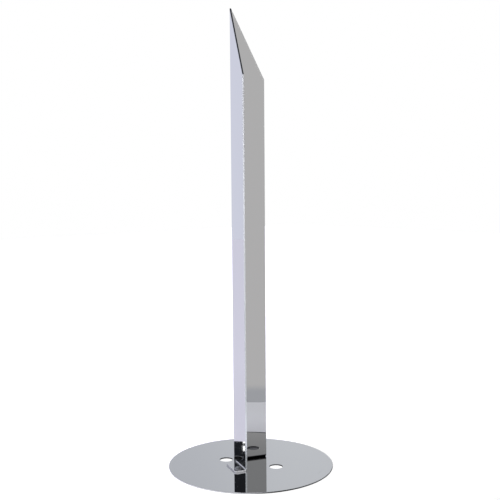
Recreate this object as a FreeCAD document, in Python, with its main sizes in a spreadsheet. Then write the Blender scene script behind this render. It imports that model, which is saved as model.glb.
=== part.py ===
"""Upright sheet-steel spike on a round base plate, as a parametric FreeCAD document.

The object is three kinds of piece:
  base_plate   a thin punched disc with two round through holes on one diameter
  angle_spike  one folded blank: an equal-leg right-angle section whose two legs are cut
               to a point at the ridge, with a foot folded outwards at the bottom of each leg
  foot_rivets  two round-head rivets, one through each foot, closed flush under the plate

Row frame: millimetres, +Z up, origin at the middle of the plate's underside. The section's
plane of symmetry is XZ: its ridge lies towards -X and its open side faces +X.
"""
import FreeCAD, Part

import math
import os

import Sketcher

DOC = FreeCAD.newDocument("spike_stand")
V = FreeCAD.Vector

# ---------------------------------------------------------------- driving dimensions (mm, degrees)
SIZES = (
    ("plate_diameter", 150.0),
    ("plate_thickness", 1.2),
    ("hole_diameter", 12.0),
    ("hole_pitch", 50.0),
    ("rim_round", 0.3),
    ("sheet", 1.5),
    ("leg_width", 32.5),
    ("spike_height", 408.8),
    ("point_length", 63.5),
    ("tip_blunting", 1.5),
    ("edge_round", 0.2),
    ("bend_inside", 1.0),
    ("ridge_offset", 17.75),
    ("foot_start", 8.0),
    ("foot_depth", 10.0),
    ("foot_corner", 2.0),
    ("relief_width", 1.5),
    ("relief_clear", 0.6),
    ("rivet_head", 6.0),
    ("rivet_rise", 2.3),
    ("rivet_shank", 3.4),
    ("rivet_sink", 0.9),
    ("rivet_along", 27.5),
    ("rivet_out", 5.2),
)
SHEET = DOC.addObject("Spreadsheet::Sheet", "Sizes")
for row, (alias, value) in enumerate(SIZES, start=1):
    SHEET.set(f"A{row}", alias)
    SHEET.set(f"B{row}", str(value))
    SHEET.setAlias(f"B{row}", alias)
DOC.recompute()


def cell(alias):
    """A sheet cell as an expression."""
    return f"Sizes.{alias}"


def size(alias):
    """A sheet cell's value as a number, for a sketch's first drawing."""
    return float(getattr(SHEET, alias))


# ---------------------------------------------------------------- helpers
def new_body(name):
    body = DOC.addObject("PartDesign::Body", name)
    body.Label = name
    return body


def origin_plane(body, role):
    return next(f for f in body.Origin.OriginFeatures if f.Role == role)


def new_sketch(body, name, role, height=None):
    """A sketch on one of the body's origin planes, raised along its normal by an expression."""
    sketch = body.newObject("Sketcher::SketchObject", name)
    sketch.AttachmentSupport = [(origin_plane(body, role), "")]
    sketch.MapMode = "FlatFace"
    if height:
        sketch.setExpression("AttachmentOffset.Base.z", height)
    DOC.recompute()
    return sketch


def bind(sketch, constraint, expression):
    """Adds a dimension and ties it to a sheet expression."""
    index = sketch.addConstraint(constraint)
    sketch.setExpression(f"Constraints[{index}]", expression)
    return index


def place_point(sketch, edge, end, across, along):
    """Ties one end of an edge to the sketch's origin by two expressions; None means on the axis."""
    for kind, rule, axis in (("DistanceX", across, -2), ("DistanceY", along, -1)):
        if rule is None:
            sketch.addConstraint(Sketcher.Constraint("PointOnObject", edge, end, axis))
        else:
            point = sketch.getPoint(edge, end)
            start = point.x if kind == "DistanceX" else point.y
            dimension = Sketcher.Constraint(kind, -1, 1, edge, end, start)
            bind(sketch, dimension, rule)


def circle(sketch, x, y, diameter, x_rule=None, y_rule=None, diameter_rule=None):
    """A full circle whose place and diameter follow the sheet."""
    edge = sketch.addGeometry(Part.Circle(V(x, y, 0), V(0, 0, 1), diameter / 2), False)
    bind(sketch, Sketcher.Constraint("Diameter", edge, diameter), diameter_rule)
    place_point(sketch, edge, 3, x_rule, y_rule)
    return edge


def polygon(sketch, corners):
    """A closed outline of straight lines. Each corner is (x, y, x expression, y expression)."""
    count = len(corners)
    edges = []
    for i in range(count):
        start = V(corners[i][0], corners[i][1], 0)
        end = V(corners[(i + 1) % count][0], corners[(i + 1) % count][1], 0)
        edges.append(sketch.addGeometry(Part.LineSegment(start, end), False))
    for i in range(count):
        sketch.addConstraint(Sketcher.Constraint("Coincident", edges[i - 1], 2, edges[i], 1))
    for edge, corner in zip(edges, corners):
        place_point(sketch, edge, 1, corner[2], corner[3])
    return edges


def pad(body, sketch, name, length, reverse=False):
    feature = body.newObject("PartDesign::Pad", name)
    feature.Profile = sketch
    feature.Reversed = reverse
    feature.setExpression("Length", length)
    DOC.recompute()
    return feature


def pocket(body, sketch, name, length, reverse=False, both_ways=False):
    """A cut that has to remove metal: a cut that points away from the solid is an error."""
    before = body.Shape.Volume
    feature = body.newObject("PartDesign::Pocket", name)
    feature.Profile = sketch
    feature.Reversed = reverse
    feature.Midplane = both_ways
    feature.setExpression("Length", length)
    DOC.recompute()
    if body.Shape.Volume > before - 1e-3:
        raise RuntimeError(f"{name} cut nothing")
    return feature


def dress_edges(body, base, kind, name, dimension, length, wanted):
    """Dresses the edges of the base feature that the test picks."""
    names = [f"Edge{i}" for i, edge in enumerate(base.Shape.Edges, start=1) if wanted(edge)]
    if not names:
        raise RuntimeError(f"{name} found no edge")
    feature = body.newObject(kind, name)
    feature.Base = (base, names)
    feature.setExpression(dimension, length)
    DOC.recompute()
    return feature


def fillet(body, base, name, radius, wanted):
    return dress_edges(body, base, "PartDesign::Fillet", name, "Radius", radius, wanted)


def chamfer(body, base, name, leg, wanted):
    return dress_edges(body, base, "PartDesign::Chamfer", name, "Size", leg, wanted)


def is_a_corner(shape, edge):
    """Whether the two faces beside an edge meet at an angle: where a flat runs into a bend they don't."""
    middle = edge.valueAt((edge.FirstParameter + edge.LastParameter) / 2)
    normals = [
        face.normalAt(*face.Surface.parameter(middle))
        for face in shape.ancestorsOfType(edge, Part.Face)
    ]
    return len(normals) == 2 and normals[0].getAngle(normals[1]) > math.radians(1)


# ---------------------------------------------------------------- rivet places, shared by three pieces
def rivet_places():
    """Each rivet's centre in the spike's own frame: leg, (x, y), (x rule, y rule)."""
    along, out = size("rivet_along"), -size("rivet_out")
    along_rule, out_rule = cell("rivet_along"), f"-{cell('rivet_out')}"
    return (
        ("near", (along, out), (along_rule, out_rule)),
        ("far", (out, along), (out_rule, along_rule)),
    )


def stand_on_plate(item):
    """Moves a piece from the spike's own frame into the row frame.

    In the spike's own frame the ridge is the Z axis and the legs run along +X and +Y.
    """
    item.Placement = FreeCAD.Placement(V(0, 0, 0), FreeCAD.Rotation(V(0, 0, 1), -45))
    item.setExpression("Placement.Base.x", f"-{cell('ridge_offset')}")
    item.setExpression("Placement.Base.z", cell("plate_thickness"))


# ---------------------------------------------------------------- base plate
def build_base_plate():
    """A punched disc: two through holes on the X diameter and two small countersunk rivet holes."""
    body = new_body("base_plate")
    disc = new_sketch(body, "disc", "XY_Plane")
    circle(disc, 0, 0, size("plate_diameter"), diameter_rule=cell("plate_diameter"))
    half_pitch = size("hole_pitch") / 2
    for side in (-1, 1):
        circle(
            disc,
            side * half_pitch,
            0,
            size("hole_diameter"),
            x_rule=f"{side} * {cell('hole_pitch')} / 2",
            diameter_rule=cell("hole_diameter"),
        )
    DOC.recompute()
    plate = pad(body, disc, "plate", cell("plate_thickness"))

    rivet_holes = new_sketch(body, "rivet_holes", "XY_Plane", cell("plate_thickness"))
    turn = math.radians(-45)
    for _, (x, y), (x_rule, y_rule) in rivet_places():
        row_x = x * math.cos(turn) - y * math.sin(turn) - size("ridge_offset")
        row_y = x * math.sin(turn) + y * math.cos(turn)
        circle(
            rivet_holes,
            row_x,
            row_y,
            size("rivet_shank"),
            x_rule=f"({x_rule} + {y_rule}) * cos(45 deg) - {cell('ridge_offset')}",
            y_rule=f"({y_rule} - ({x_rule})) * cos(45 deg)",
            diameter_rule=cell("rivet_shank"),
        )
    DOC.recompute()
    drilled = pocket(body, rivet_holes, "rivet_hole_cut", f"2 * {cell('plate_thickness')}")

    thickness, shank = size("plate_thickness"), size("rivet_shank")

    def is_round(edge):
        return edge.Curve.TypeId == "Part::GeomCircle"

    def on_a_rim(edge):
        """The rims of the disc and of both through holes, on the top and under face."""
        if not is_round(edge) or edge.Curve.Radius < shank:
            return False
        level = edge.Curve.Center.z
        return min(abs(level), abs(level - thickness)) < 1e-6

    def under_a_rivet_hole(edge):
        return is_round(edge) and edge.Curve.Radius < shank and abs(edge.Curve.Center.z) < 1e-6

    rounded = fillet(body, drilled, "rim_rounding", cell("rim_round"), on_a_rim)
    body.Tip = chamfer(body, rounded, "countersinks", cell("rivet_sink"), under_a_rivet_hole)
    return body


# ---------------------------------------------------------------- angle spike
def draw_angle_section(sketch):
    """An equal-leg angle: outer corner on the origin, legs along +X and +Y, a round fold between them."""
    leg, sheet = size("leg_width"), size("sheet")
    inside = size("bend_inside")
    outside = inside + sheet
    leg_rule, sheet_rule = cell("leg_width"), cell("sheet")
    outside_rule = f"{cell('bend_inside')} + {cell('sheet')}"

    def line(x0, y0, x1, y1):
        return sketch.addGeometry(Part.LineSegment(V(x0, y0, 0), V(x1, y1, 0)), False)

    def arc(radius):
        ring = Part.Circle(V(outside, outside, 0), V(0, 0, 1), radius)
        return sketch.addGeometry(Part.ArcOfCircle(ring, math.pi, 1.5 * math.pi), False)

    outer_x = line(outside, 0, leg, 0)
    end_x = line(leg, 0, leg, sheet)
    inner_x = line(leg, sheet, outside, sheet)
    inner_arc = arc(inside)
    inner_y = line(sheet, outside, sheet, leg)
    end_y = line(sheet, leg, 0, leg)
    outer_y = line(0, leg, 0, outside)
    outer_arc = arc(outside)
    joins = (
        (outer_x, 2, end_x, 1),
        (end_x, 2, inner_x, 1),
        (inner_x, 2, inner_arc, 2),
        (inner_arc, 1, inner_y, 1),
        (inner_y, 2, end_y, 1),
        (end_y, 2, outer_y, 1),
        (outer_y, 2, outer_arc, 1),
        (outer_arc, 2, outer_x, 1),
    )
    for first, first_end, second, second_end in joins:
        sketch.addConstraint(Sketcher.Constraint("Coincident", first, first_end, second, second_end))
    place_point(sketch, outer_x, 1, outside_rule, None)
    place_point(sketch, outer_x, 2, leg_rule, None)
    place_point(sketch, inner_x, 1, leg_rule, sheet_rule)
    place_point(sketch, inner_x, 2, outside_rule, sheet_rule)
    place_point(sketch, inner_y, 1, sheet_rule, outside_rule)
    place_point(sketch, inner_y, 2, sheet_rule, leg_rule)
    place_point(sketch, outer_y, 1, None, leg_rule)
    place_point(sketch, outer_y, 2, None, outside_rule)
    radius_rules = ((inner_arc, inside, cell("bend_inside")), (outer_arc, outside, outside_rule))
    for edge, radius, rule in radius_rules:
        bind(sketch, Sketcher.Constraint("Radius", edge, radius), rule)
    DOC.recompute()


def draw_point_cut(sketch):
    """The triangle above one leg's slanting top, with the leg running along the sketch's +x."""
    leg, point = size("leg_width"), size("point_length")
    height = size("spike_height") + size("tip_blunting")
    sharp_rule = f"{cell('spike_height')} + {cell('tip_blunting')}"
    rise = point / leg
    beyond = 5.0
    apex = fold_middle() * rise
    apex_rule = f"({fold_middle_rule()}) * {cell('point_length')} / {cell('leg_width')}"
    far_x = leg + beyond
    far_rule = f"{cell('leg_width')} + {beyond}"
    slope_rule = f"{cell('point_length')} / {cell('leg_width')}"
    low = height + apex - rise * far_x
    low_rule = f"{sharp_rule} + {apex_rule} - {slope_rule} * ({cell('leg_width')} + {beyond})"
    back_rule = f"-{beyond}"
    high = height + apex + rise * beyond
    high_rule = f"{sharp_rule} + {apex_rule} + {slope_rule} * {beyond}"
    polygon(
        sketch,
        (
            (-beyond, high, back_rule, high_rule),
            (far_x, low, far_rule, low_rule),
            (far_x, high, far_rule, high_rule),
        ),
    )
    DOC.recompute()


def fold_middle():
    """How far the middle of the fold's outer face stands from each leg's outer plane."""
    return (size("bend_inside") + size("sheet")) * (1 - math.cos(math.radians(45)))


def fold_middle_rule():
    return f"({cell('bend_inside')} + {cell('sheet')}) * (1 - cos(45 deg))"


def draw_foot_profile(sketch):
    """The foot seen along its leg: down the leg, round the fold and out along the plate towards -x."""
    sheet, inside, depth = size("sheet"), size("bend_inside"), size("foot_depth")
    outside = inside + sheet
    inside_rule = cell("bend_inside")
    outside_rule = f"{cell('bend_inside')} + {cell('sheet')}"

    def line(x0, y0, x1, y1):
        return sketch.addGeometry(Part.LineSegment(V(x0, y0, 0), V(x1, y1, 0)), False)

    def arc(radius):
        ring = Part.Circle(V(-inside, outside, 0), V(0, 0, 1), radius)
        return sketch.addGeometry(Part.ArcOfCircle(ring, 1.5 * math.pi, 2 * math.pi), False)

    top = line(0, outside, sheet, outside)
    under_arc = arc(outside)
    under = line(-inside, 0, -depth, 0)
    end = line(-depth, 0, -depth, sheet)
    upper = line(-depth, sheet, -inside, sheet)
    upper_arc = arc(inside)
    joins = (
        (top, 2, under_arc, 2),
        (under_arc, 1, under, 1),
        (under, 2, end, 1),
        (end, 2, upper, 1),
        (upper, 2, upper_arc, 1),
        (upper_arc, 2, top, 1),
    )
    for first, first_end, second, second_end in joins:
        sketch.addConstraint(Sketcher.Constraint("Coincident", first, first_end, second, second_end))
    place_point(sketch, top, 1, None, outside_rule)
    place_point(sketch, top, 2, cell("sheet"), outside_rule)
    place_point(sketch, under, 1, f"-{inside_rule}", None)
    place_point(sketch, under, 2, f"-{cell('foot_depth')}", None)
    place_point(sketch, upper, 1, f"-{cell('foot_depth')}", cell("sheet"))
    place_point(sketch, upper, 2, f"-{inside_rule}", cell("sheet"))
    for edge, radius, rule in ((under_arc, outside, outside_rule), (upper_arc, inside, inside_rule)):
        bind(sketch, Sketcher.Constraint("Radius", edge, radius), rule)
    DOC.recompute()


def draw_leg_undercut(sketch):
    """The window under one leg that makes room for the foot's fold and for the relief slot beside it."""
    leg, sheet, beyond = size("leg_width"), size("sheet"), 2.0
    start = size("foot_start") - size("relief_width")
    start_rule = f"{cell('foot_start')} - {cell('relief_width')}"
    end_rule = f"{cell('leg_width')} + {beyond}"
    fold = size("bend_inside") + sheet
    fold_rule = f"{cell('bend_inside')} + {cell('sheet')}"
    slot = size("foot_start")
    slot_rule = cell("foot_start")
    high = fold + size("relief_clear")
    high_rule = f"{fold_rule} + {cell('relief_clear')}"
    under_rule = f"-{beyond}"
    polygon(
        sketch,
        (
            (start, -beyond, start_rule, under_rule),
            (leg + beyond, -beyond, end_rule, under_rule),
            (leg + beyond, fold, end_rule, fold_rule),
            (slot, fold, slot_rule, fold_rule),
            (slot, high, slot_rule, high_rule),
            (start, high, start_rule, high_rule),
        ),
    )
    DOC.recompute()


def build_angle_spike():
    """The folded blank, drawn with its ridge on the Z axis and then turned and stood on the plate."""
    body = new_body("angle_spike")
    section = new_sketch(body, "angle_section", "XY_Plane")
    draw_angle_section(section)
    pad(body, section, "angle", cell("spike_height"))
    through_both_legs = f"4 * {cell('leg_width')}"
    through_one_sheet = f"2 * {cell('sheet')} + 0.1"
    face_planes = {"near": "XZ_Plane", "far": "YZ_Plane"}
    across_planes = {"near": "YZ_Plane", "far": "XZ_Plane"}
    for leg, plane in face_planes.items():
        cut = new_sketch(body, f"{leg}_point", plane)
        draw_point_cut(cut)
        pocket(body, cut, f"{leg}_point_cut", through_both_legs, both_ways=True)
    for leg, plane in face_planes.items():
        window = new_sketch(body, f"{leg}_undercut", plane)
        draw_leg_undercut(window)
        pocket(body, window, f"{leg}_undercut_cut", through_one_sheet, both_ways=True)
    for leg, plane in across_planes.items():
        profile = new_sketch(body, f"{leg}_foot_profile", plane)
        normal = profile.Placement.Rotation.multVec(V(0, 0, 1))
        forward = normal.x + normal.y > 0
        offset = cell("foot_start") if forward else f"-{cell('foot_start')}"
        profile.setExpression("AttachmentOffset.Base.z", offset)
        draw_foot_profile(profile)
        length = f"{cell('leg_width')} - {cell('foot_start')}"
        foot = pad(body, profile, f"{leg}_foot", length, reverse=not forward)

    depth, sheet = size("foot_depth"), size("sheet")

    def on_a_foot_corner(edge):
        """The upright edges at the outer corners of both feet."""
        ends = [v.Point for v in edge.Vertexes]
        if len(ends) != 2 or abs(ends[0].z - ends[1].z) < sheet - 1e-6:
            return False
        upright = (ends[0] - ends[1]).cross(V(0, 0, 1)).Length < 1e-6
        outermost = min(ends[0].x, ends[0].y) < -depth + 1e-6
        return upright and outermost and max(ends[0].z, ends[1].z) < sheet + 1e-6

    folded = fillet(body, foot, "foot_corners", cell("foot_corner"), on_a_foot_corner)

    def is_sharp(edge):
        return is_a_corner(folded.Shape, edge)

    fillet(body, folded, "edge_rounding", cell("edge_round"), is_sharp)
    holes = new_sketch(body, "rivet_holes_in_feet", "XY_Plane")
    for _, (x, y), (x_rule, y_rule) in rivet_places():
        circle(holes, x, y, size("rivet_shank"), x_rule, y_rule, cell("rivet_shank"))
    DOC.recompute()
    body.Tip = pocket(body, holes, "foot_hole_cut", through_one_sheet, both_ways=True)
    stand_on_plate(body)
    return body


# ---------------------------------------------------------------- rivets
def build_foot_rivets():
    """Round-head rivets. The head stands on the foot; the tail fills the plate's countersink."""
    head, rise = size("rivet_head") / 2, size("rivet_rise")
    ball_rule = f"(({cell('rivet_head')} / 2)^2 + {cell('rivet_rise')}^2) / (2 * {cell('rivet_rise')})"
    ball_radius = (head**2 + rise**2) / (2 * rise)
    sheet, plate = size("sheet"), size("plate_thickness")
    ball_level = sheet + rise - ball_radius
    ball_level_rule = f"{cell('sheet')} + {cell('rivet_rise')} - {ball_rule}"
    under_rule = f"-{cell('plate_thickness')}"
    rivets = []
    for leg, (x, y), (x_rule, y_rule) in rivet_places():
        ball = DOC.addObject("Part::Sphere", f"ball_{leg}")
        ball.setExpression("Radius", ball_rule)
        collar = DOC.addObject("Part::Cylinder", f"collar_{leg}")
        collar.setExpression("Radius", cell("rivet_head"))
        collar.setExpression("Height", cell("rivet_head"))
        stem = DOC.addObject("Part::Cylinder", f"stem_{leg}")
        stem.setExpression("Radius", f"{cell('rivet_shank')} / 2")
        stem.setExpression("Height", f"{cell('sheet')} + {cell('plate_thickness')}")
        tail = DOC.addObject("Part::Cone", f"tail_{leg}")
        tail.setExpression("Radius1", f"{cell('rivet_shank')} / 2 + {cell('rivet_sink')}")
        tail.setExpression("Radius2", f"{cell('rivet_shank')} / 2")
        tail.setExpression("Height", cell("rivet_sink"))
        levels = (
            (ball, ball_level, ball_level_rule),
            (collar, sheet, cell("sheet")),
            (stem, -plate, under_rule),
            (tail, -plate, under_rule),
        )
        for item, level, level_rule in levels:
            item.Placement = FreeCAD.Placement(V(x, y, level), FreeCAD.Rotation())
            item.setExpression("Placement.Base.x", x_rule)
            item.setExpression("Placement.Base.y", y_rule)
            item.setExpression("Placement.Base.z", level_rule)
        cap = DOC.addObject("Part::Common", f"cap_{leg}")
        cap.Base, cap.Tool = ball, collar
        rivet = DOC.addObject("Part::MultiFuse", f"rivet_{leg}")
        rivet.Shapes = [cap, stem, tail]
        rivets.append(rivet)
    group = DOC.addObject("Part::Compound", "foot_rivets")
    group.Label = "foot_rivets"
    group.Links = rivets
    stand_on_plate(group)
    DOC.recompute()
    return group


# ---------------------------------------------------------------- build, test and export
def export(pieces):
    DOC.recompute()
    for item in DOC.Objects:
        broken = [word for word in item.State if word in ("Invalid", "Error")]
        if broken:
            raise RuntimeError(f"{item.Name} failed: {broken}")
    os.makedirs("parts", exist_ok=True)
    for piece in pieces:
        shape = piece.Shape
        if shape.isNull() or not shape.isValid():
            raise RuntimeError(f"{piece.Label} has a bad shape")
        if any(solid.Volume <= 0 for solid in shape.Solids) or not shape.Solids:
            raise RuntimeError(f"{piece.Label} has no solid")
        shape.exportStep(os.path.join("parts", f"{piece.Label}.step"))
        box = shape.BoundBox
        print(f"{piece.Label}: {len(shape.Solids)} solid(s), {shape.Volume:.0f} mm3")
        print(f"    {box.XLength:.1f} x {box.YLength:.1f} x {box.ZLength:.1f} mm at most")


export([build_base_plate(), build_angle_spike(), build_foot_rivets()])
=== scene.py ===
"""Looks of the chromed ground spike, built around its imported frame: camera, table, studio and metal.

Everything is in metres in the frame of the CAD model: +Z up, the plate's underside at z = 0, the
ridge of the angle section towards -X and its open side towards +X.
"""
import math

import bpy
from mathutils import Matrix, Vector

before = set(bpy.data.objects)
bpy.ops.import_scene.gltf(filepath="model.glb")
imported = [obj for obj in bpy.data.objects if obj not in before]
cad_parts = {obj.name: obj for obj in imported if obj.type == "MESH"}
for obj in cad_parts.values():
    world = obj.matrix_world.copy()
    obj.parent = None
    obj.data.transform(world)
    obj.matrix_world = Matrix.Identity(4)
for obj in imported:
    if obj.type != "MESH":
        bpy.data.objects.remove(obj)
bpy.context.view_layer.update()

MM = 0.001

# ---------------------------------------------------------------- measures of the object
PLATE_TOP = 1.2 * MM
PLATE_RADIUS = 75 * MM
HOLE_RADIUS = 6 * MM
HOLE_OFFSET = 25 * MM
RIDGE_OFFSET = 17.75 * MM
LEG_WIDTH = 32.5 * MM
SPIKE_TOP = 408.8 * MM
POINT_SLOPE = 63.5 / 32.5
FOOT_START = 8 * MM
FOOT_DEPTH = 10 * MM
OUTER_BEND = 2.5 * MM
FACET_MARGIN = 0.35 * MM
DIAGONAL = math.sqrt(0.5)


# ---------------------------------------------------------------- node helpers
class Graph:
    """A node tree with short ways to add and join nodes. A number or a socket can feed any input."""

    def __init__(self, tree):
        self.tree = tree
        tree.nodes.clear()

    def add(self, kind, **settings):
        node = self.tree.nodes.new(kind)
        for name, value in settings.items():
            setattr(node, name, value)
        return node

    def feed(self, socket, value):
        if isinstance(value, bpy.types.NodeSocket):
            self.tree.links.new(value, socket)
        else:
            socket.default_value = value

    def math(self, operation, first, second=0.0):
        node = self.add("ShaderNodeMath", operation=operation)
        self.feed(node.inputs[0], first)
        self.feed(node.inputs[1], second)
        return node.outputs[0]

    def times(self, first, *others):
        for other in others:
            first = self.math("MULTIPLY", first, other)
        return first

    def plus(self, first, *others):
        for other in others:
            first = self.math("ADD", first, other)
        return first

    def minus(self, first, second):
        return self.math("SUBTRACT", first, second)

    def least(self, first, *others):
        for other in others:
            first = self.math("MINIMUM", first, other)
        return first

    def ramp(self, value, start, end, low=0.0, high=1.0):
        """Goes smoothly from low to high while the value goes from start to end."""
        node = self.add("ShaderNodeMapRange", interpolation_type="SMOOTHSTEP")
        for socket, number in zip(node.inputs, (value, start, end, low, high)):
            self.feed(socket, number)
        return node.outputs[0]

    def blend(self, amount, first, second):
        """The first colour where the amount is 0 and the second where it is 1."""
        node = self.add("ShaderNodeMix", data_type="RGBA", clamp_factor=True)
        colour_a, colour_b = node.inputs[6], node.inputs[7]
        self.feed(node.inputs["Factor"], amount)
        self.feed(colour_a, first)
        self.feed(colour_b, second)
        return node.outputs[2]

    def split(self, vector):
        node = self.add("ShaderNodeSeparateXYZ")
        self.feed(node.inputs[0], vector)
        return node.outputs[0], node.outputs[1], node.outputs[2]

    def along(self, vector, direction):
        """The length of a vector along a fixed direction."""
        node = self.add("ShaderNodeVectorMath", operation="DOT_PRODUCT")
        self.feed(node.inputs[0], vector)
        node.inputs[1].default_value = direction
        return node.outputs["Value"]

    def stretch(self, vector, factors):
        """The vector with each component multiplied by its own factor."""
        node = self.add("ShaderNodeVectorMath", operation="MULTIPLY")
        self.feed(node.inputs[0], vector)
        node.inputs[1].default_value = factors
        return node.outputs[0]

    def radius_about(self, x, y, centre_x):
        """The distance of (x, y) from the point (centre_x, 0)."""
        across = self.minus(x, centre_x)
        return self.math("SQRT", self.plus(self.times(across, across), self.times(y, y)))

    def noise(self, vector, scale, detail=2.0, roughness=0.5):
        node = self.add("ShaderNodeTexNoise")
        self.feed(node.inputs["Vector"], vector)
        node.inputs["Scale"].default_value = scale
        node.inputs["Detail"].default_value = detail
        node.inputs["Roughness"].default_value = roughness
        return node.outputs["Fac"]

    def ray_is(self, kind):
        """1 for rays of one kind, such as camera or diffuse rays, and 0 for the others."""
        return self.add("ShaderNodeLightPath").outputs[f"Is {kind} Ray"]

    def background(self, colour, strength=1.0):
        node = self.add("ShaderNodeBackground")
        self.feed(node.inputs["Color"], colour)
        node.inputs["Strength"].default_value = strength
        return node.outputs[0]

    def choose(self, condition, if_not, if_so):
        """One shader where the condition is 0 and the other where it is 1."""
        node = self.add("ShaderNodeMixShader")
        for socket, value in zip(node.inputs, (condition, if_not, if_so)):
            self.feed(socket, value)
        return node.outputs[0]


def grey(value):
    return (value, value, value, 1.0)


# ---------------------------------------------------------------- camera
CAMERA_AZIMUTH = math.radians(24.16)
CAMERA_PITCH = math.radians(5.69)
CAMERA_ROLL = math.radians(-0.45)
CAMERA_DISTANCE = 759.3 * MM
CAMERA_TARGET = Vector((0.6, 0.3, 183.9)) * MM
CAMERA_SENSOR = 36.0
CAMERA_LENS = 60.91
CAMERA_SHIFT_UP = 0.03
LEVEL_FORWARD = Vector((-math.sin(CAMERA_AZIMUTH), math.cos(CAMERA_AZIMUTH), 0))
LEVEL_RIGHT = Vector((math.cos(CAMERA_AZIMUTH), math.sin(CAMERA_AZIMUTH), 0))


def build_camera():
    """A long lens that looks at the middle of the spike from a little above it."""
    forward = LEVEL_FORWARD * math.cos(CAMERA_PITCH) - Vector((0, 0, math.sin(CAMERA_PITCH)))
    level_up = LEVEL_RIGHT.cross(forward)
    right = LEVEL_RIGHT * math.cos(CAMERA_ROLL) + level_up * math.sin(CAMERA_ROLL)
    up = level_up * math.cos(CAMERA_ROLL) - LEVEL_RIGHT * math.sin(CAMERA_ROLL)
    data = bpy.data.cameras.new("studio_camera")
    data.sensor_width = CAMERA_SENSOR
    data.lens = CAMERA_LENS
    data.shift_y = CAMERA_SHIFT_UP
    data.clip_start = 0.01
    data.clip_end = 50.0
    camera = bpy.data.objects.new("studio_camera", data)
    turned = Matrix((right, up, -forward)).transposed().to_4x4()
    camera.matrix_world = Matrix.Translation(CAMERA_TARGET - forward * CAMERA_DISTANCE) @ turned
    bpy.context.scene.collection.objects.link(camera)
    bpy.context.scene.camera = camera


# ---------------------------------------------------------------- studio
# A pair named SPAN or EDGE is the start and the end of a smooth change. In the room, heights, depths
# and sides are parts of a unit vector, the backdrop's slope is height over depth, and the edges of
# the strip light and the panel are cosines. Compass and height angles are in degrees.
OPEN_SIDE = Vector((math.cos(math.radians(-24.0)), math.sin(math.radians(-24.0)), 0))

BACKDROP_SLOPE_EDGE = (0.415, 0.407)
BACKDROP_DEPTH_EDGE = (0.0, 0.1)
BACKDROP_MIDDLE_SPAN = (0.06, -0.10)
BACKDROP_LEFT_SPAN = (-0.10, -0.55)
BACKDROP_RIGHT_SPAN = (0.25, 0.8)
BACKDROP_BEHIND = (0.81, 0.83, 0.87, 1.0)
BACKDROP_MIDDLE = (0.70, 0.72, 0.77, 1.0)
BACKDROP_LEFT = (0.99, 1.01, 1.17, 1.0)
BACKDROP_RIGHT = grey(0.30)

WALL_TOP_EDGE = (0.50, 0.42)
WALL_DEPTH_EDGE = (0.15, 0.0)
WALL_LOW_EDGE = (-0.236, -0.246)
WALL_HIGH_EDGE = (0.27, 0.325)
WALL_OPEN_SIDE_SPAN = (0.3, 0.7)
WALL_GREY = (0.760, 0.747, 0.740, 1.0)
WALL_LOW = (0.59, 0.60, 0.63, 1.0)
WALL_HIGH = grey(0.50)
WALL_PALE = (0.93, 0.95, 1.02, 1.0)
STRIP_LIGHT_ANGLES = (-40, 2)
STRIP_LIGHT_EDGE = (0.980, 0.9877)
STRIP_LIGHT = grey(5.0)

CEILING_GREY = (0.40, 0.41, 0.43, 1.0)
PANEL_ANGLES = (150, 65)
PANEL_EDGE = (0.82, 0.92)
PANEL_PALE = (0.72, 0.73, 0.76, 1.0)
GAP_DARK = (0.026, 0.028, 0.033, 1.0)
# Azimuth, elevation, radius of the dark core, radius where the gap ends.
CEILING_GAPS = ((155.3, 21, 7, 13), (-4, 57, 16, 26))

LAMP_AZIMUTH = 155.33
LAMP_ELEVATIONS = ((17.32, 17.58), (17.78, 18.05))
LAMP_HALF_WIDTH = 0.055
LAMP_BLUR = 0.0004
LAMP = grey(6.0)

FILL_COLOUR = (0.95, 0.97, 1.1, 1.0)
FILL_STRENGTH = 0.55

KEY_ANGLES = (165, 48)
KEY_STRENGTH = 3.1
KEY_SPREAD = math.radians(50)
LOW_FILL_ANGLES = (-52, 4)
LOW_FILL_DISTANCE = 0.9
LOW_FILL_SIZE = (0.22, 0.36)
LOW_FILL_WATTS = 5
LOW_FILL_AIM = Vector((0, 0, 200 * MM))

TABLE_EDGE = 197 * MM
TABLE_REACH = 3000 * MM
# Painted light and shade on the table: lighter and lavender behind the spike, darker towards the front
# edge.
TABLE_BACK_LIT = (0.732, 0.713, 0.791, 1.0)
TABLE_MIDDLE = (0.757, 0.752, 0.760, 1.0)
TABLE_FRONT_SHADED = (0.66, 0.655, 0.66, 1.0)
TABLE_FAR_BACK_LIT = (0.79, 0.77, 0.855, 1.0)
TABLE_MIDDLE_SPAN = (-100 * MM, 60 * MM)
TABLE_FRONT_SPAN = (110 * MM, TABLE_EDGE)
TABLE_FAR_BACK_SPAN = (-150 * MM, -500 * MM)
TABLE_GLOW = 0.45

SHADE_CENTRE = Vector((5.2, 1.9, 0)) * MM
SHADE_EDGE = (77 * MM, 75 * MM)
SHADE_DARK = grey(0.01)
HOLE_LIGHT_EDGE = (12 * MM, 9 * MM)
HOLE_LIGHT = grey(0.26)
SHADE_GLOW = 1.0


def point_at(azimuth, elevation):
    """The unit vector towards a compass angle from +X and a height angle, both in degrees."""
    turn, rise = math.radians(azimuth), math.radians(elevation)
    return Vector((math.cos(turn) * math.cos(rise), math.sin(turn) * math.cos(rise), math.sin(rise)))


def backdrop_colour(graph, side):
    """Palest on the left and darkest on the far right."""
    colour = graph.blend(graph.ramp(side, *BACKDROP_MIDDLE_SPAN), BACKDROP_BEHIND, BACKDROP_MIDDLE)
    colour = graph.blend(graph.ramp(side, *BACKDROP_LEFT_SPAN), colour, BACKDROP_LEFT)
    return graph.blend(graph.ramp(side, *BACKDROP_RIGHT_SPAN), colour, BACKDROP_RIGHT)


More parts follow.
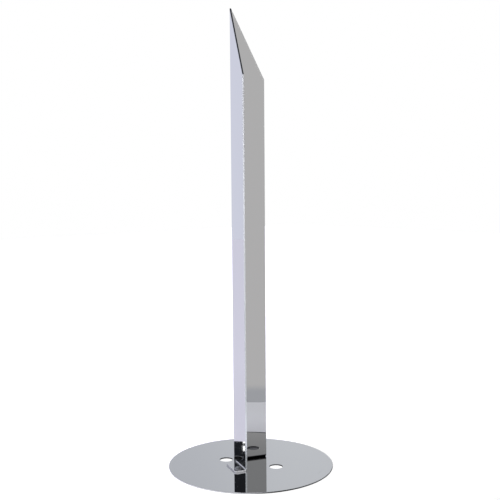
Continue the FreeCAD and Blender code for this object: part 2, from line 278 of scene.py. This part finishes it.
def wall_colour(graph, towards, height):
    """Pale, but grey on the open side, darker at the bottom and the top, with a strip light."""
    colour = graph.blend(graph.ramp(height, *WALL_LOW_EDGE), WALL_GREY, WALL_LOW)
    colour = graph.blend(graph.ramp(height, *WALL_HIGH_EDGE), colour, WALL_HIGH)
    on_strip = graph.ramp(graph.along(towards, point_at(*STRIP_LIGHT_ANGLES)), *STRIP_LIGHT_EDGE)
    colour = graph.blend(on_strip, colour, STRIP_LIGHT)
    on_open_side = graph.ramp(graph.along(towards, OPEN_SIDE), *WALL_OPEN_SIDE_SPAN)
    return graph.blend(on_open_side, WALL_PALE, colour)


def ceiling_colour(graph, towards):
    """Grey, with a pale panel and two dark gaps: above the backdrop and high on the open side."""
    on_panel = graph.ramp(graph.along(towards, point_at(*PANEL_ANGLES)), *PANEL_EDGE)
    colour = graph.blend(on_panel, CEILING_GREY, PANEL_PALE)
    for azimuth, elevation, core, reach in CEILING_GAPS:
        towards_gap = graph.along(towards, point_at(azimuth, elevation))
        in_gap = graph.ramp(towards_gap, math.cos(math.radians(reach)), math.cos(math.radians(core)))
        colour = graph.blend(in_gap, colour, GAP_DARK)
    return colour


def with_lamps(graph, towards, height, room):
    """The room with two small lamps, one above the other, just over the backdrop's top edge."""
    across = graph.math("ABSOLUTE", graph.along(towards, point_at(LAMP_AZIMUTH + 90, 0)))
    reach = math.radians(LAMP_HALF_WIDTH)
    for bottom, top in LAMP_ELEVATIONS:
        low, high = math.sin(math.radians(bottom)), math.sin(math.radians(top))
        on_lamp = graph.times(
            graph.ramp(across, reach + LAMP_BLUR, reach - LAMP_BLUR),
            graph.ramp(height, low - LAMP_BLUR, low + LAMP_BLUR),
            graph.ramp(height, high + LAMP_BLUR, high - LAMP_BLUR),
        )
        room = graph.blend(on_lamp, room, LAMP)
    return room


def build_world():
    """A room for the metal to mirror, plain white for the camera and an even fill for matt surfaces."""
    world = bpy.data.worlds.new("studio")
    bpy.context.scene.world = world
    world.use_nodes = True
    graph = Graph(world.node_tree)
    towards = graph.add("ShaderNodeTexCoord").outputs["Generated"]
    _, _, height = graph.split(towards)
    depth = graph.along(towards, LEVEL_FORWARD)
    side = graph.along(towards, LEVEL_RIGHT)

    # The backdrop stands square to LEVEL_FORWARD, so its top edge sinks towards both sides.
    slope = graph.math("DIVIDE", height, graph.math("MAXIMUM", depth, 0.02))
    on_backdrop = graph.times(
        graph.ramp(slope, *BACKDROP_SLOPE_EDGE),
        graph.ramp(depth, *BACKDROP_DEPTH_EDGE),
    )
    on_wall = graph.times(
        graph.ramp(height, *WALL_TOP_EDGE),
        graph.ramp(depth, *WALL_DEPTH_EDGE),
    )
    room = graph.blend(on_wall, ceiling_colour(graph, towards), wall_colour(graph, towards, height))
    room = graph.blend(on_backdrop, room, backdrop_colour(graph, side))
    room = with_lamps(graph, towards, height, room)

    fill = graph.background(FILL_COLOUR, FILL_STRENGTH)
    lit = graph.choose(graph.ray_is("Diffuse"), graph.background(room), fill)
    seen = graph.choose(graph.ray_is("Camera"), lit, graph.background(grey(1.0)))
    out = graph.add("ShaderNodeOutputWorld")
    graph.feed(out.inputs["Surface"], seen)


def add_lamp(name, data, away, place):
    """Adds a lamp that shines from a direction and that the metal doesn't mirror."""
    lamp = bpy.data.objects.new(name, data)
    lamp.location = place
    lamp.rotation_euler = away.to_track_quat("Z", "Y").to_euler()
    lamp.visible_glossy = False
    bpy.context.scene.collection.objects.link(lamp)


def build_lights():
    """A broad key from the back left and a low, weak fill from the open side."""
    key = bpy.data.lights.new("key_light", "SUN")
    key.energy = KEY_STRENGTH
    key.angle = KEY_SPREAD
    add_lamp("key_light", key, point_at(*KEY_ANGLES), Vector((0, 0, 0)))
    fill = bpy.data.lights.new("low_fill", "AREA")
    fill.shape = "RECTANGLE"
    fill.size, fill.size_y = LOW_FILL_SIZE
    fill.energy = LOW_FILL_WATTS
    away = point_at(*LOW_FILL_ANGLES)
    add_lamp("low_fill", fill, away, LOW_FILL_AIM + away * LOW_FILL_DISTANCE)


def table_material():
    """Pale paint, whiter to the camera. The plate's shade is dark in the metal and white to the camera."""
    material = bpy.data.materials.new("table_white")
    material.use_nodes = True
    graph = Graph(material.node_tree)
    place = graph.add("ShaderNodeTexCoord").outputs["Object"]
    x, y, _ = graph.split(place)
    forward = graph.along(place, OPEN_SIDE)
    # Painted light and shade: lighter and lavender behind, darker towards the front edge.
    colour = graph.blend(graph.ramp(forward, *TABLE_MIDDLE_SPAN), TABLE_BACK_LIT, TABLE_MIDDLE)
    colour = graph.blend(graph.ramp(forward, *TABLE_FRONT_SPAN), colour, TABLE_FRONT_SHADED)
    colour = graph.blend(graph.ramp(forward, *TABLE_FAR_BACK_SPAN), colour, TABLE_FAR_BACK_LIT)

    # Some light reaches the table through the hole on the open side.
    under_hole = graph.ramp(graph.radius_about(x, y, HOLE_OFFSET), *HOLE_LIGHT_EDGE)
    shade_colour = graph.blend(under_hole, SHADE_DARK, HOLE_LIGHT)
    from_shade = graph.radius_about(x, graph.minus(y, SHADE_CENTRE.y), SHADE_CENTRE.x)
    in_shade = graph.ramp(from_shade, *SHADE_EDGE)

    paint = graph.add("ShaderNodeBsdfDiffuse")
    graph.feed(paint.inputs["Color"], graph.blend(in_shade, colour, shade_colour))
    brightness = graph.ramp(in_shade, 0.0, 1.0, TABLE_GLOW, SHADE_GLOW)
    glow = graph.add("ShaderNodeEmission")
    graph.feed(glow.inputs["Strength"], graph.times(graph.ray_is("Camera"), brightness))
    both = graph.add("ShaderNodeAddShader")
    graph.feed(both.inputs[0], paint.outputs[0])
    graph.feed(both.inputs[1], glow.outputs[0])
    out = graph.add("ShaderNodeOutputMaterial")
    graph.feed(out.inputs["Surface"], both.outputs[0])
    return material


def build_table():
    """A pale table top that ends 0.2 m from the plate's middle on the open side."""
    across = Vector((-OPEN_SIDE.y, OPEN_SIDE.x, 0))
    corners = [
        OPEN_SIDE * forward + across * sideways
        for forward, sideways in (
            (TABLE_EDGE, -TABLE_REACH),
            (TABLE_EDGE, TABLE_REACH),
            (-TABLE_REACH, TABLE_REACH),
            (-TABLE_REACH, -TABLE_REACH),
        )
    ]
    mesh = bpy.data.meshes.new("table_top")
    mesh.from_pydata([tuple(corner) for corner in corners], [], [(0, 1, 2, 3)])
    mesh.materials.append(table_material())
    table = bpy.data.objects.new("table_top", mesh)
    bpy.context.scene.collection.objects.link(table)


# ---------------------------------------------------------------- metal
CHROME = (0.548, 0.553, 0.560, 1.0)
RIM_CHROME = (0.63, 0.635, 0.645, 1.0)
# Painted shade on the walls of the holes.
HOLE_WALL = grey(0.26)
# Painted light on the long cuts, lighter at the bottom of the spike, and a painted highlight on the ends
# of the feet.
CUT_CHROME_LOW_LIT = (0.69, 0.72, 0.75, 1.0)
CUT_CHROME_HIGH_SHADED = (0.50, 0.51, 0.55, 1.0)
FOOT_END_HIGHLIGHT = (0.92, 0.92, 0.95, 1.0)
# Painted shade in the crevice under the folds of the feet.
CREVICE_SHADE = grey(0.06)
RIVET_CHROME = (0.26, 0.265, 0.28, 1.0)

# Noise scales are in waves per metre.
CLOUD_SCALE = 30.0
WAVE_SCALE = 14.0
WAVE_HEIGHT = 0.03 * MM
STREAK_SCALE = 1800.0
STREAK_STRETCH = 0.02
STREAK_HEIGHT = 0.0002 * MM
HAIRLINE_SCALE = 60.0
HAIRLINE_BREAK_SCALE = 21.0
HAIRLINE_STRETCH = (1.0, 0.35, 0.12)
HAIRLINE_WIDTH = 0.004
HAIRLINE_DEPTH = 0.001 * MM
NICK_SCALE = 700.0
SHEAR_SCALE = 900.0
SHEAR_GRAIN_SCALE = 2500.0
SHEAR_GRAIN_HEIGHT = 0.02 * MM
RIVET_SCALE = 600.0
DENT_SCALE = 450.0
DENT_HEIGHT = 0.06 * MM
RIVET_GRAIN_SCALE = 4000.0
RIVET_GRAIN_HEIGHT = 0.001 * MM

# Roughness.
MIRROR = 0.008
CLOUD_DULLING = 0.016
STREAK_DULLING = 0.022
HAIRLINE_DULLING = 0.10
EDGE_WEAR = 0.16
HOLE_WALL_DULLING = 0.33
FOOT_END_DULLING = 0.28
FOOT_HAZE = 0.03
FOLD_HAZE = 0.12


def hairlines(graph, place):
    """Long thin scratches, broken up into lengths. 1 on a scratch and 0 beside it."""
    drawn = graph.noise(graph.stretch(place, HAIRLINE_STRETCH), HAIRLINE_SCALE, detail=1.0)
    from_line = graph.math("ABSOLUTE", graph.minus(drawn, 0.5))
    broken = graph.ramp(graph.noise(place, HAIRLINE_BREAK_SCALE, detail=1.0), 0.52, 0.62)
    return graph.times(graph.ramp(from_line, HAIRLINE_WIDTH, 0.0), broken)


def mottled(graph, place, scale, low, high, full=0.7):
    """A patchy value between low and high."""
    return graph.ramp(graph.noise(place, scale, detail=3.0), 0.3, full, low, high)


def metal(name, colour, roughness, relief):
    """A metallic material. Roughness, relief in metres and a colour that varies come as functions."""
    material = bpy.data.materials.new(name)
    material.use_nodes = True
    graph = Graph(material.node_tree)
    place = graph.add("ShaderNodeTexCoord").outputs["Object"]
    shader = graph.add("ShaderNodeBsdfPrincipled")
    graph.feed(shader.inputs["Base Color"], colour(graph, place) if callable(colour) else colour)
    shader.inputs["Metallic"].default_value = 1.0
    graph.feed(shader.inputs["Roughness"], roughness(graph, place))
    bump = graph.add("ShaderNodeBump")
    bump.inputs["Distance"].default_value = 1.0
    graph.feed(bump.inputs["Height"], relief(graph, place))
    graph.feed(shader.inputs["Normal"], bump.outputs[0])
    out = graph.add("ShaderNodeOutputMaterial")
    graph.feed(out.inputs["Surface"], shader.outputs[0])
    return material


def polished(name, colour, grain, edge_distance, haze=None):
    """Plated sheet: mirror bright, with polishing lines along the grain, hairlines and worn edges."""
    along_grain = tuple(STREAK_STRETCH if component else 1.0 for component in grain)

    def roughness(graph, place):
        cloud = graph.ramp(graph.noise(place, CLOUD_SCALE, detail=3.0), 0.35, 0.75, 0.0, CLOUD_DULLING)
        drawn = graph.noise(graph.stretch(place, along_grain), STREAK_SCALE, detail=3.0, roughness=0.6)
        streaks = graph.ramp(drawn, 0.45, 0.75, 0.0, STREAK_DULLING)
        scratched = graph.times(hairlines(graph, place), HAIRLINE_DULLING)
        nicks = graph.ramp(graph.noise(place, NICK_SCALE, detail=3.0), 0.40, 0.62)
        at_edge = graph.ramp(edge_distance(graph, place), 0.9 * MM, 0.1 * MM)
        worn = graph.times(at_edge, nicks, EDGE_WEAR)
        total = graph.plus(MIRROR, cloud, streaks, scratched, worn)
        if haze:
            total = graph.plus(total, haze(graph, place))
        return total

    def relief(graph, place):
        waves = graph.times(graph.noise(place, WAVE_SCALE, detail=1.0), WAVE_HEIGHT)
        drawn = graph.noise(graph.stretch(place, along_grain), STREAK_SCALE)
        streaks = graph.times(drawn, STREAK_HEIGHT)
        scratched = graph.times(hairlines(graph, place), -HAIRLINE_DEPTH)
        return graph.plus(waves, streaks, scratched)

    return metal(name, colour, roughness, relief)


def plate_edge_distance(graph, place):
    """How far a place on the plate is from its rim or from the rim of a hole."""
    x, y, _ = graph.split(place)
    rim = graph.minus(PLATE_RADIUS, graph.radius_about(x, y, 0.0))
    holes = [
        graph.minus(graph.radius_about(x, y, side * HOLE_OFFSET), HOLE_RADIUS)
        for side in (-1, 1)
    ]
    return graph.least(rim, *holes)


def in_a_hole(graph, place):
    """1 on the wall of a hole and 0 on the plate's outer rim."""
    x, y, _ = graph.split(place)
    from_hole = graph.least(*(graph.radius_about(x, y, side * HOLE_OFFSET) for side in (-1, 1)))
    return graph.ramp(from_hole, 9 * MM, 8 * MM)


def rim_colour_and_hole_shade(graph, place):
    """Painted shade: the walls of the holes are darker than the outer rim."""
    return graph.blend(in_a_hole(graph, place), RIM_CHROME, HOLE_WALL)


def rim_roughness(graph, place):
    """The walls of the holes are also rougher, because no polishing wheel reaches them."""
    polished_rim = mottled(graph, place, SHEAR_SCALE, 0.06, 0.13)
    return graph.plus(polished_rim, graph.times(in_a_hole(graph, place), HOLE_WALL_DULLING))


def leg_coordinates(graph, place):
    """A place on the spike as (along the near leg, along the far leg, height above the plate's top).

    From the ridge the near leg runs towards +X -Y and the far leg towards +X +Y.
    """
    x, y, z = graph.split(place)
    x = graph.plus(x, RIDGE_OFFSET)
    near = graph.times(graph.minus(x, y), DIAGONAL)
    far = graph.times(graph.plus(x, y), DIAGONAL)
    return near, far, graph.minus(z, PLATE_TOP)


def spike_edge_distance(graph, place):
    """How far a place on the spike is from a leg's free edge or from the slanting cut at the point."""
    near, far, height = leg_coordinates(graph, place)
    along = graph.math("MAXIMUM", near, far)
    free_edge = graph.minus(LEG_WIDTH, along)
    below_cut = graph.minus(graph.minus(SPIKE_TOP, graph.times(along, POINT_SLOPE)), height)
    return graph.least(free_edge, graph.times(below_cut, 1 / math.hypot(1, POINT_SLOPE)))


def on_feet(graph, place):
    """1 on the feet and inside their folds, and 0 on the legs."""
    near, far, _ = leg_coordinates(graph, place)
    return graph.ramp(graph.least(near, far), -0.02 * MM, -0.3 * MM)


def foot_haze(graph, place):
    """The feet are a little hazy, and the inside of their folds more so."""
    near, far, _ = leg_coordinates(graph, place)
    in_fold = graph.ramp(graph.least(near, far), -1.5 * MM, -1.0 * MM)
    haze = graph.plus(FOOT_HAZE, graph.times(in_fold, FOLD_HAZE))
    return graph.times(on_feet(graph, place), haze)


def spike_colour_and_crevice_shade(graph, place):
    """Chrome with painted shade: dark in the crevice where the folds of the feet turn under the legs."""
    near, far, height = leg_coordinates(graph, place)
    inside = graph.ramp(graph.least(near, far), 0.0, 0.5 * MM)
    crevice = graph.times(inside, graph.ramp(height, 2.9 * MM, 1.7 * MM))
    return graph.blend(crevice, CHROME, CREVICE_SHADE)


def cut_colour_and_painted_light(graph, place):
    """Painted light: the long cuts are brightest at the bottom and darker towards the point, and a painted
    highlight makes the ends of the feet brighter still.
    """
    _, _, height = leg_coordinates(graph, place)
    long_cut = graph.blend(graph.ramp(height, 0.0, SPIKE_TOP), CUT_CHROME_LOW_LIT, CUT_CHROME_HIGH_SHADED)
    return graph.blend(on_feet(graph, place), long_cut, FOOT_END_HIGHLIGHT)


def cut_roughness(graph, place):
    """The sheared ends of the feet are rougher than the long cuts."""
    sheared = mottled(graph, place, SHEAR_SCALE, 0.16, 0.28)
    return graph.plus(sheared, graph.times(on_feet(graph, place), FOOT_END_DULLING))


def shear_relief(graph, place):
    """The fine grain of the cut edges."""
    return graph.times(graph.noise(place, SHEAR_GRAIN_SCALE, detail=3.0), SHEAR_GRAIN_HEIGHT)


def rivet_roughness(graph, place):
    return mottled(graph, place, RIVET_SCALE, 0.05, 0.16, full=0.75)


def rivet_relief(graph, place):
    """Shallow dents and a fine grain."""
    dents = graph.times(graph.noise(place, DENT_SCALE, detail=1.0), DENT_HEIGHT)
    return graph.plus(dents, graph.times(graph.noise(place, RIVET_GRAIN_SCALE), RIVET_GRAIN_HEIGHT))


def own_frame(point):
    """The three coordinates of leg_coordinates for a point of the mesh."""
    x, y = point.x + RIDGE_OFFSET, point.y
    return (x - y) * DIAGONAL, (x + y) * DIAGONAL, point.z - PLATE_TOP


def is_sheared(centre, normal):
    """Whether a facet of the spike lies on a cut edge of the sheet and not on one of its two faces."""
    along_near, along_far, height = own_frame(centre)
    along, out = max(along_near, along_far), min(along_near, along_far)
    if along > LEG_WIDTH - FACET_MARGIN or out < -FOOT_DEPTH + FACET_MARGIN:
        return True
    if height > 10 * MM:
        return abs(normal.z) > 0.15
    turn = -1 if along_near > along_far else 1
    if along > 2 * OUTER_BEND and abs(normal.x + turn * normal.y) * DIAGONAL > 0.3:
        return True
    return along < FOOT_START and abs(normal.z) > 0.5


def dress_metal():
    """Gives each node its material, and the cut edges of the two sheet parts one of their own."""
    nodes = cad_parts
    rim = metal("chrome_rim", rim_colour_and_hole_shade, rim_roughness, shear_relief)
    cut = metal("chrome_cut", cut_colour_and_painted_light, cut_roughness, shear_relief)
    faces = {
        "base_plate": polished("chrome_plate", CHROME, (1, 0, 0), plate_edge_distance),
        "angle_spike": polished(
            "chrome_spike", spike_colour_and_crevice_shade, (0, 0, 1), spike_edge_distance, haze=foot_haze
        ),
        "foot_rivets": metal("chrome_rivet", RIVET_CHROME, rivet_roughness, rivet_relief),
    }
    for name, node in nodes.items():
        node.data.materials.clear()
        node.data.materials.append(faces[name])
    nodes["base_plate"].data.materials.append(rim)
    nodes["angle_spike"].data.materials.append(cut)
    for facet in nodes["base_plate"].data.polygons:
        facet.material_index = 1 if abs(facet.normal.z) < 0.6 else 0
    for facet in nodes["angle_spike"].data.polygons:
        facet.material_index = 1 if is_sheared(facet.center, facet.normal) else 0


build_camera()
build_world()
build_lights()
build_table()
dress_metal()
bpy.context.scene.view_settings.view_transform = "Standard"
